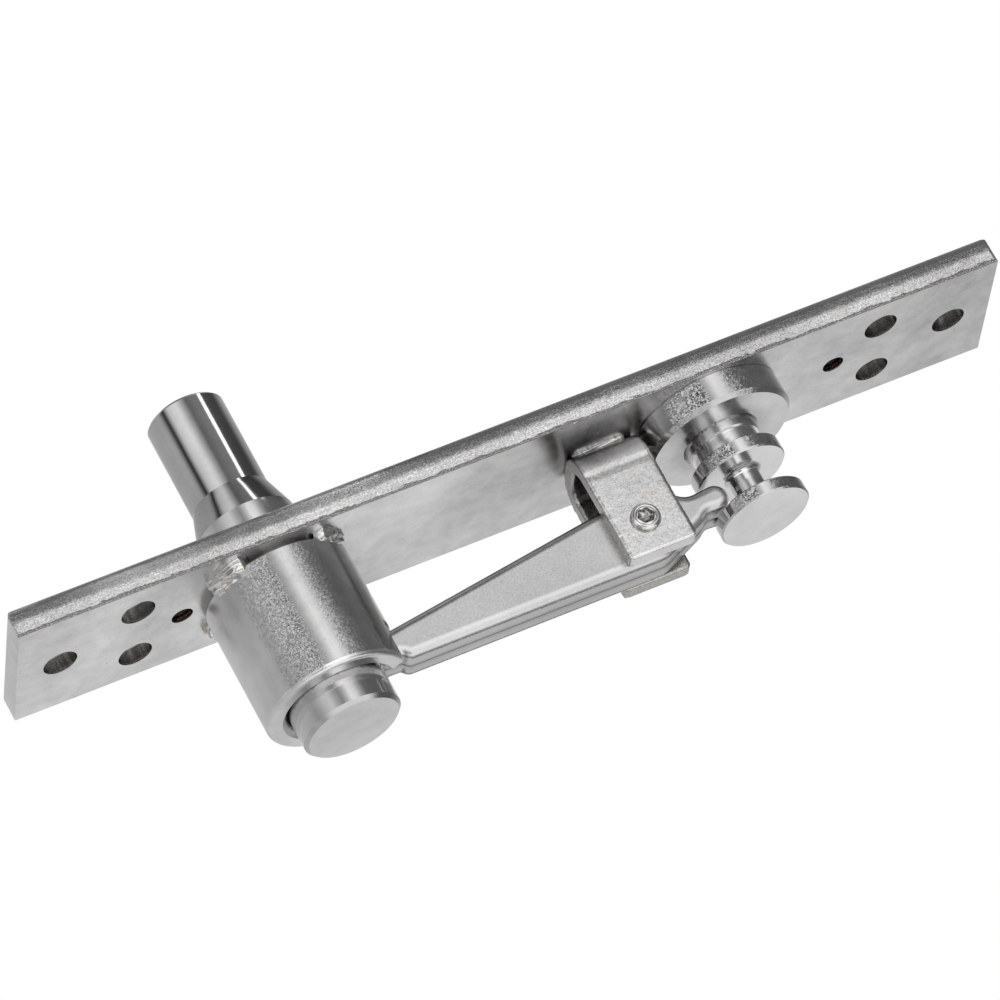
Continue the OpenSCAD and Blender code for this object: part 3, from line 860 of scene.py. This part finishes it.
def straight_weld(side):
    """A weld in the crevice under one side of the bracket's fold."""
    low, high = span("lever_bracket")

    def profile(share):
        x = low.x + 1.2 + (high.x - low.x - 2.6) * share
        swell = 0.5 + 0.5 * ripple(share * 3, side, 2.0) + 0.5 * share
        toe = Vector((x, side * (3.9 + 0.35 * swell), low.z))
        wall_y = 3.7 + 0.3 * swell
        outer = STRIP + FOLD
        wall_z = low.z + outer - math.sqrt(outer**2 - (wall_y - (EAR_FACE - outer)) ** 2)
        return toe, Vector((x, side * wall_y, wall_z)), Vector((x, side * 3.0, low.z))

    return profile


def bracket_welds(material):
    """A weld along each side of the bracket's foot."""
    points, faces = [], []
    count, across = 90, 12
    for side in (1, -1):
        faces += lattice(count, across, start=len(points))
        points += fillet(straight_weld(side), count, across, side * 3.0, 0.4)
    piece("bracket_beads", points, faces, material, "root", ["bracket_welds"])


# ---------------------------------------------------------------------- studio


def light(shown):
    """The light that a plated face needs to look that bright."""
    return shown**2.2 / ZINC[0]


def grey(shown):
    return (light(shown),) * 3 + (1,)


def panels(graph, turn, table):
    """The light of a ring of panels, by the turn about z as a share of a circle."""
    return graph.ramp(turn, [((a + 180) / 360, light(shown)) for a, shown in table])


# How bright the studio's walls look from the hinge, by direction in degrees
WALLS = [
    (-180, 0.60), (-150, 0.64), (-109, 0.68), (-85, 0.75), (-61, 0.80), (-49, 0.66),
    (-35, 0.44), (-20, 0.36), (0, 0.34), (25, 0.34), (45, 0.38), (57, 0.60),
    (68, 0.80), (80, 0.86), (90, 0.66), (100, 0.48), (112, 0.60), (125, 0.74),
    (140, 0.68), (152, 0.60), (165, 0.54), (180, 0.60),
]
# The same, higher up and lower down
HIGH_WALLS = [
    (-180, 0.66), (-110, 0.70), (-70, 0.76), (-40, 0.60), (-15, 0.42), (30, 0.42),
    (48, 0.70), (62, 0.98), (120, 0.98), (150, 0.86), (180, 0.66),
]
LOW_WALLS = [
    (-180, 0.50), (-120, 0.52), (-60, 0.56), (-30, 0.40), (30, 0.30), (120, 0.32),
    (160, 0.42), (180, 0.50),
]
# The same above the horizon
UPPER_WALLS = [
    (-180, 0.60), (-130, 0.72), (-95, 0.76), (-60, 0.74), (-40, 0.52), (-20, 0.36),
    (30, 0.36), (48, 0.50), (62, 0.80), (74, 0.96), (92, 0.96), (102, 0.55),
    (112, 0.48), (125, 0.75), (142, 0.72), (155, 0.42), (180, 0.60),
]
# The panels that stand close round the pin's spigot, by mirrored direction
SPIGOT_WALLS = [
    (-180, 0.59), (171, 0.56), (164, 0.42), (158, 0.20), (153, 0.20), (147, 0.52),
    (139, 0.71), (123, 0.79), (115, 0.81), (107, 0.76), (99, 0.64), (91, 0.52),
    (83, 0.36), (75, 0.38), (60, 0.43), (46, 0.43), (42.5, 1.25), (37.5, 1.25),
    (34, 0.32), (27, 0.27), (3, 0.24), (-5, 0.26), (-13, 0.35), (-21, 0.46),
    (-29, 0.52), (-45, 0.59), (-61, 0.67), (-85, 0.71), (-109, 0.60), (-150, 0.58),
]

PANEL_REACH = 40.0
TO_CAMERA = 108.56  # the camera's direction from the hinge, in degrees about z


def studio():
    """A dome of softboxes: bright and dark panels round the hinge, pale above."""
    world = bpy.data.worlds.new("studio")
    bpy.context.scene.world = world
    world.use_nodes = True
    graph = Graph(world.node_tree)
    x, y, z = graph.parts(graph.node("TexCoord"))
    turn = graph.turn(x, y)
    low_ring, ring, high_ring, upper_ring = (
        panels(graph, turn, table) for table in (LOW_WALLS, WALLS, HIGH_WALLS, UPPER_WALLS)
    )
    dome = graph.blend(z.between(-0.66, -0.46), low_ring, ring)
    dome = graph.blend(z.between(-0.40, -0.25), dome, high_ring)
    dome = graph.blend(z.between(0.05, 0.25), dome, upper_ring)
    behind = y.between(-0.1, 0.3)
    ceiling = graph.blend(behind, grey(0.74), grey(0.92))
    dome = graph.blend(z.between(0.62, 0.78), dome, ceiling)
    front = z.near(0.86, 0.12) * (1 - behind)
    dome = graph.blend(0.8 * front, dome, grey(0.38))
    dome = graph.blend(z.between(-0.78, -0.92), dome, grey(0.38))
    shader = graph.node("Background", None, {"Color": dome, "Strength": 1.0})
    graph.node("OutputWorld", None, {"Surface": shader})


def stage_piece(name, points, faces, material, hidden_from):
    """A piece of the studio, from points in millimetres, that some rays pass by."""
    mesh = bpy.data.meshes.new(name)
    mesh.from_pydata([Vector(point) * MM for point in points], [], faces)
    mesh.materials.append(material)
    made = bpy.data.objects.new(name, mesh)
    bpy.context.scene.collection.objects.link(made)
    for rays in hidden_from:
        setattr(made, "visible_" + rays, False)


def spigot_panels():
    """Upright light and dark panels that only the polished spigot mirrors."""
    top, bottom, sectors = -22.0, -90.0, 180
    points = []
    for level in (bottom, top):
        for i in range(sectors):
            turn = math.tau * i / sectors
            x, y = PANEL_REACH * math.cos(turn), PANEL_REACH * math.sin(turn)
            points.append((PIN_AXIS.x + x, PIN_AXIS.y + y, level))
    material, graph = new_material("panel_light")
    about_pin = (PIN_AXIS.x, PIN_AXIS.y, 0)
    x, y, _ = graph.parts(graph.vector("SUBTRACT", graph.position(), about_pin))
    walls = sorted((panel_turn(a), shown) for a, shown in SPIGOT_WALLS)
    colour = panels(graph, graph.turn(x, y), walls)
    lit = graph.node("Emission", None, {"Color": colour, "Strength": 1.0})
    clear = graph.node("BsdfTransparent")
    far = graph.node("LightPath", output=7).between(0.060, 0.061)
    shader = graph.node("MixShader", None, {0: far, 1: lit, 2: clear})
    graph.node("OutputMaterial", None, {"Surface": shader})
    faces = lattice(2, sectors, around=True)
    hidden_from = ("camera", "diffuse", "shadow")
    stage_piece("spigot_panels", points, faces, material, hidden_from)


def panel_turn(direction):
    """Where on the panels the spigot's mirrored ray of that direction ends."""
    spigot = mounts["pivot_spigot"]["r_mm"]
    facing = math.radians((direction + TO_CAMERA) / 2)
    along = math.radians(direction)
    if math.cos(facing - math.radians(TO_CAMERA)) < 0:
        facing += math.pi
    start = spigot * Vector((math.cos(facing), math.sin(facing)))
    ray = Vector((math.cos(along), math.sin(along)))
    lean = start.dot(ray)
    end = start + ray * (math.sqrt(lean**2 + PANEL_REACH**2 - spigot**2) - lean)
    return math.degrees(math.atan2(end.y, end.x))


def floor():
    """A white floor that the hinge doesn't mirror."""
    reach = 6000.0
    level = frame_low.z / MM - 1
    corners = [(-reach, -reach), (reach, -reach), (reach, reach), (-reach, reach)]
    points = [(x, y, level) for x, y in corners]
    material, graph = new_material("white_floor")
    shader = graph.node("Emission", None, {"Color": (1, 1, 1, 1), "Strength": 1.0})
    graph.node("OutputMaterial", None, {"Surface": shader})
    hidden_from = ("diffuse", "glossy", "shadow")
    stage_piece("floor", points, [(0, 1, 2, 3)], material, hidden_from)


def camera():
    """A long lens, from above the plate's inner side and to its left."""
    data = bpy.data.cameras.new("camera")
    data.sensor_width = 36
    data.lens = 298.6
    data.clip_start, data.clip_end = 0.05, 30
    view = bpy.data.objects.new("camera", data)
    bpy.context.scene.collection.objects.link(view)
    right = Vector((0.8936, 0.0757, 0.4425))
    up = Vector((0.3453, 0.5140, -0.7852))
    turn = Matrix((right, up, right.cross(up))).transposed()
    place = Vector((-429.9, 1271.5, 651.9)) * MM
    view.matrix_world = Matrix.Translation(place) @ turn.to_4x4()
    bpy.context.scene.camera = view


# ------------------------------------------------------------------ the object


def pattern(name):
    """The holes of a mount as (x, y, radius), in millimetres from the middle."""
    dims = mounts[name]
    x, y = dims["spacing_x_mm"] / 2, dims.get("spacing_y_mm", 0) / 2
    rows = (-y, y) if y else (0,)
    return [(side * x, row, dims["hole_r_mm"]) for side in (-1, 1) for row in rows]


screw_holes = pattern("fixing_pairs") + pattern("fixing_ends")
dress(["mounting_plate"], plate_material(screw_holes, pattern("tapped_holes")))
dress(["pin_housing"], tube_material())

bracket_finish = bracket_material()
dress(["lever_bracket"], bracket_finish)
bracket(bracket_finish)

blade_finish = blade_material()
dress(["lever_blade_near", "lever_blade_far"], blade_finish)
blade("lever_blade_near", 1, blade_finish)
blade("lever_blade_far", -1, blade_finish)

weld_finish = weld_material()
dress(["housing_welds", "bracket_welds"], weld_finish)
housing_welds(weld_finish)
bracket_welds(weld_finish)

boss_finish = turned_material(
    "zinc_boss", SPOOL_AXIS, roughness=0.12, rings=0.004, ends=-0.08, frost=0.40, bore=7.2
)
dress(["adjuster_boss"], boss_finish)
pin_finish = turned_material(
    "pin_steel", PIN_AXIS, roughness=0.10, rings=0.0015, ends=-0.08
)
dress(["pivot_pin"], pin_finish)
spool_finish = turned_material(
    "spool_steel", SPOOL_AXIS, roughness=0.08, rings=0.004, ends=0.12, frost=0.30,
    frost_from=8.3,
)
dress(["adjuster_spool"], spool_finish)

screw_finish = screw_material(middle("lever_screw"))
dress(["lever_screw", "lever_bush"], screw_finish)
pivot_screw(screw_finish)

spigot_panels()
studio()
floor()
camera()
bpy.context.scene.view_settings.view_transform = "Standard"
